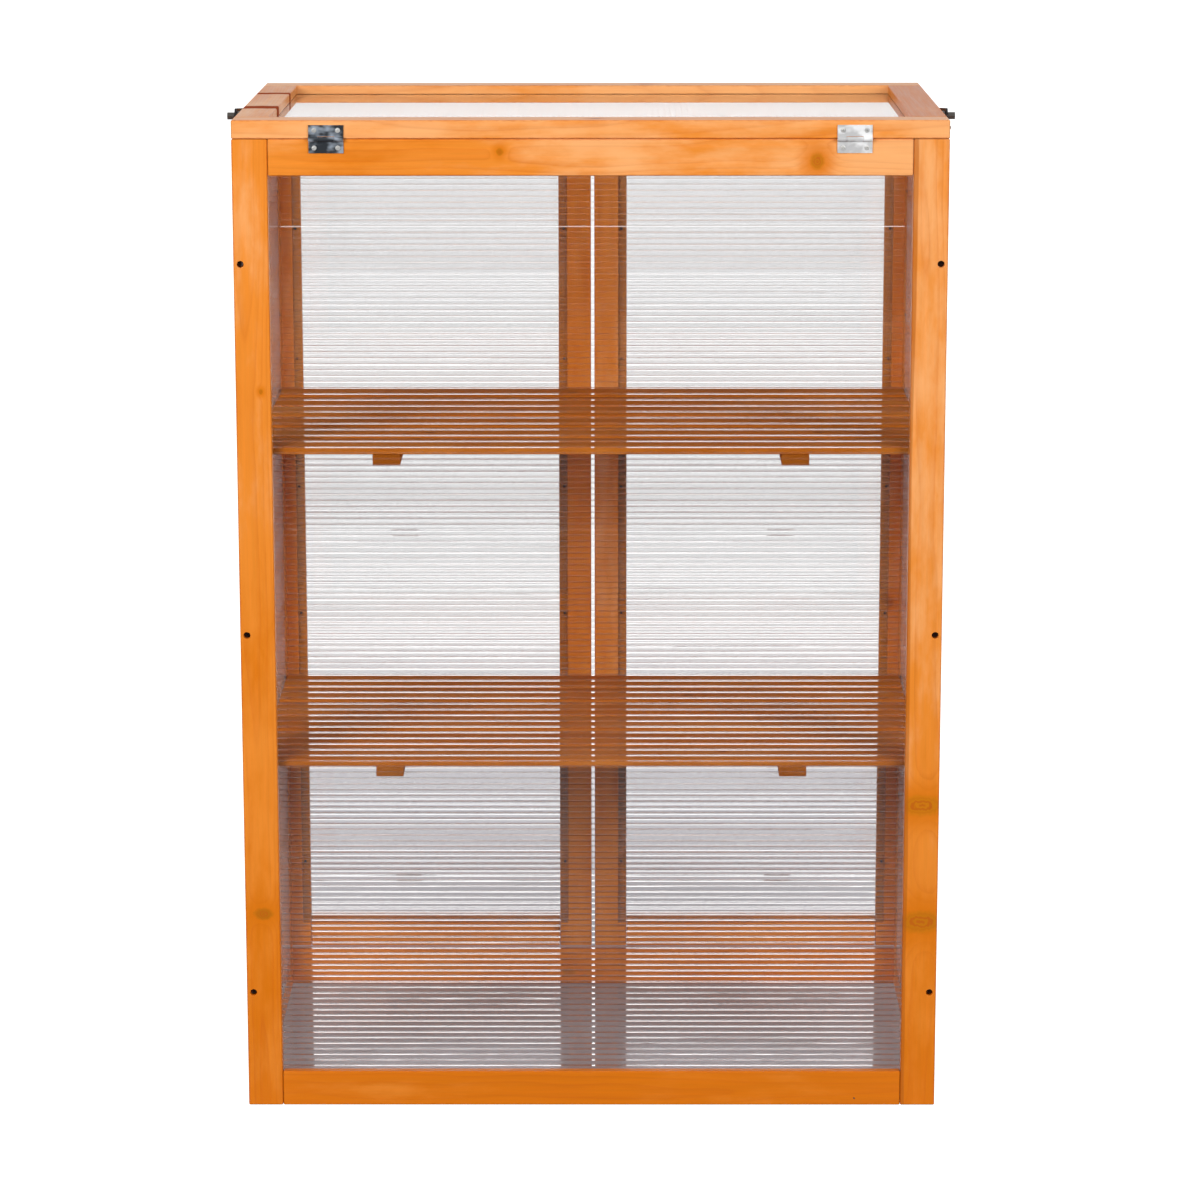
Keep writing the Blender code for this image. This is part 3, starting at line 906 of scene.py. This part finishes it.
def build_fittings():
    """The stays, their bolts and studs, and the turn button."""
    black = dark_steel("stay_black", (24, 23, 25), 0.38)
    bolt_zinc = zinc("bolt_zinc", (150, 146, 142), 0.34)
    button_zinc = zinc("button_zinc", (214, 214, 216), 0.28)
    for side in SIGNS:
        refine(f"{side}_stay_arm", black, 0.00035)
        refine(f"{side}_stay_bolt", bolt_zinc, 0.00025)
        refine(f"{side}_stay_stud", bolt_zinc, 0.00040)
    refine("door_turn_button", button_zinc, 0.00045)
    refine("door_turn_button_screw", button_zinc, 0.00045)


def build_single_fasteners():
    """The nail low in the back panel's bottom rail, and the screw in the right end of the lid's rear rail."""
    along, height = RAIL_NAIL_AT
    point = Vector((along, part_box("back_bottom_rail")[0].y, height))
    mesh = cluster_mesh(turned_mesh(RAIL_NAIL_PROFILE, 12), [point], -Y, random.Random("rail_nail"))
    place_piece("back_rail_nail", mesh, dark_steel("nail_dark", (70, 58, 54), 0.4), "cabinet")
    low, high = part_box("lid_rear_rail")
    point = Vector((high.x, low.y + LID_SCREW_OFFSET, (low.z + high.z) / 2))
    mesh = cluster_mesh(screw_head_mesh(0.0024, 0.0022), [point], X, random.Random("lid_side"))
    place_piece("lid_side_screw", mesh, dark_steel("lid_screw_dark", (70, 58, 54), 0.4), "lid")


# ---------------------------------------------------------------- stage


# How bright the surroundings are: for the camera, low and high through a sheet, for the light that they
# give, overhead, and low and high on the side before the back panel
WHITE_LEVEL = 1.32
LOW_BACKDROP = 1.23
HIGH_BACKDROP = 2.30
BACKDROP_LIGHT = 0.84
CEILING_LIGHT = 0.42
LOW_ROOM = 0.03
HIGH_ROOM = 0.50


def build_world():
    """A white backdrop, a softer ceiling above it, and a dim room on the side before the back panel."""
    world = bpy.data.worlds.new("studio")
    bpy.context.scene.world = world
    shader = Shader(world)
    direction = shader.node("TexCoord").outputs["Generated"]
    parts = shader.node("SeparateXYZ", {0: direction}).outputs
    path = shader.node("LightPath").outputs
    backdrop = shader.remap(parts[1], -0.15, 0.35, 0.0, 1.0)
    ceiling = shader.remap(parts[2], 0.35, 0.80, 0.0, 1.0)
    dim_room = shader.remap(parts[2], -0.02, 0.20, LOW_ROOM, HIGH_ROOM)

    def surroundings(level, room):
        strength = shader.math("MULTIPLY_ADD", backdrop, shader.math("SUBTRACT", level, room), room)
        from_ceiling = shader.math("SUBTRACT", CEILING_LIGHT, strength)
        strength = shader.math("MULTIPLY_ADD", ceiling, from_ceiling, strength)
        inputs = {"Color": (1.0, 0.995, 0.985, 1.0), "Strength": strength}
        return shader.node("Background", inputs).outputs[0]

    light = surroundings(BACKDROP_LIGHT, dim_room)
    # Straight through a sheet the room is as white as the backdrop; only its reflections are dim
    straight = shader.math("LESS_THAN", path["Glossy Depth"], 0.5)
    clear_room = shader.math("MAXIMUM", dim_room, shader.math("MULTIPLY", straight, LOW_BACKDROP))
    clear_backdrop = shader.remap(parts[2], -0.15, 0.15, LOW_BACKDROP, HIGH_BACKDROP)
    through = surroundings(clear_backdrop, clear_room)
    white = shader.node("Background", {"Color": (1.0, 1.0, 1.0, 1.0), "Strength": WHITE_LEVEL}).outputs[0]
    both = shader.node("MixShader", {0: path["Is Transmission Ray"], 1: light, 2: through}).outputs[0]
    both = shader.node("MixShader", {0: path["Is Camera Ray"], 1: both, 2: white}).outputs[0]
    shader.finish(both)


FLOOR_RADIUS = 3.0
PAPER_COLOUR = (0.29, 0.27, 0.295)
PAPER_GLOSS_SHARE = 0.26


def build_floor():
    """A grey floor with a painted glow that is faint by the cabinet, as painted shade, and brightens into the
    backdrop, and that the camera sees directly as plain white.
    """
    bm = bmesh.new()
    bmesh.ops.create_circle(bm, cap_ends=True, segments=96, radius=FLOOR_RADIUS)
    floor = bpy.data.objects.new("studio_floor", mesh_of(bm, "studio_floor"))
    bpy.context.scene.collection.objects.link(floor)
    shader = new_material("studio_paper")
    place = shader.node("TexCoord").outputs["Object"]
    far = shader.node("VectorMath", {0: place}, operation="LENGTH").outputs["Value"]
    # Painted shade: the side before the back panel stays dim, so the sheets don't reflect it over what is
    # behind them
    row_y = shader.node("SeparateXYZ", {0: place}).outputs[1]
    path = shader.node("LightPath").outputs
    straight = shader.math("LESS_THAN", path["Glossy Depth"], 0.5)
    straight = shader.math("MULTIPLY", straight, path["Is Transmission Ray"])
    behind = shader.math("MAXIMUM", shader.remap(row_y, -0.75, 0.10, 0.10, 1.0), straight)
    paper = shader.node("BsdfDiffuse", {"Color": shader.scaled(PAPER_COLOUR, behind)})
    # Painted glow from a floor that is no lamp: faint by the cabinet as painted shade, brighter farther out
    level = shader.math("MULTIPLY", behind, shader.remap(far, 0.20, 1.10, 0.05, 0.62))
    painted_glow = shader.node("Emission", {"Color": (0.985, 0.975, 1.0, 1.0), "Strength": level})
    sheen = shader.node("BsdfGlossy", {"Color": (0.80, 0.78, 0.80, 1.0), "Roughness": 0.24})
    paper = shader.node("MixShader", {0: PAPER_GLOSS_SHARE, 1: paper.outputs[0], 2: sheen.outputs[0]})
    lit = shader.node("AddShader", {0: paper.outputs[0], 1: painted_glow.outputs[0]})
    clear = shader.node("BsdfTransparent")
    fade = shader.remap(far, 0.9, FLOOR_RADIUS * 0.9)
    surface = shader.node("MixShader", {0: fade, 1: lit.outputs[0], 2: clear.outputs[0]})
    white = shader.node("Emission", {"Color": (1.0, 1.0, 1.0, 1.0), "Strength": WHITE_LEVEL})
    surface = shader.node("MixShader", {0: path["Is Camera Ray"], 1: surface.outputs[0], 2: white.outputs[0]})
    floor.data.materials.append(shader.finish(surface.outputs[0]))


LIGHT_TARGET = Vector((0, 0, 0.9))


def add_light(name, place, size, power, colour):
    """A soft round lamp, which the sheets and the gloss neither show nor reflect."""
    data = bpy.data.lights.new(name, "AREA")
    data.shape = "DISK"
    data.size = size
    data.energy = power
    data.color = colour
    light = bpy.data.objects.new(name, data)
    light.location = place
    light.rotation_euler = (LIGHT_TARGET - Vector(place)).to_track_quat("-Z", "Y").to_euler()
    light.visible_glossy = False
    light.visible_transmission = False
    bpy.context.scene.collection.objects.link(light)


CAMERA_PLACE = Vector((0.0230, -4.6369, 1.4983))
CAMERA_YAW = math.radians(0.172)
CAMERA_PITCH = math.radians(11.878)
CAMERA_ROLL = math.radians(-0.043)
CAMERA_LENS = 124.83


def build_stage():
    """The camera before the back panel, the surroundings, the floor, two lamps and the bounces of light."""
    data = bpy.data.cameras.new("camera")
    data.sensor_width = 36.0
    data.lens = CAMERA_LENS
    camera = bpy.data.objects.new("camera", data)
    turn = Matrix.Rotation(CAMERA_YAW, 4, "Z") @ Matrix.Rotation(math.pi / 2 - CAMERA_PITCH, 4, "X")
    camera.matrix_world = Matrix.Translation(CAMERA_PLACE) @ turn @ Matrix.Rotation(CAMERA_ROLL, 4, "Z")
    bpy.context.scene.collection.objects.link(camera)
    bpy.context.scene.camera = camera
    build_world()
    build_floor()
    add_light("key", (-1.9, -3.0, 1.9), 1.6, 79, (1.0, 0.99, 0.97))
    add_light("fill", (2.2, -2.9, 1.8), 1.5, 62, (1.0, 0.99, 0.98))
    scene = bpy.context.scene
    scene.view_settings.view_transform = "Standard"
    scene.cycles.max_bounces = 40
    scene.cycles.transmission_bounces = 40
    scene.cycles.transparent_max_bounces = 48
    scene.cycles.glossy_bounces = 16


build_stage()
build_boards()
build_sheets()
for shelf in ("lower_shelf", "upper_shelf"):
    build_shelf(shelf)
build_hinges()
build_fittings()
build_single_fasteners()
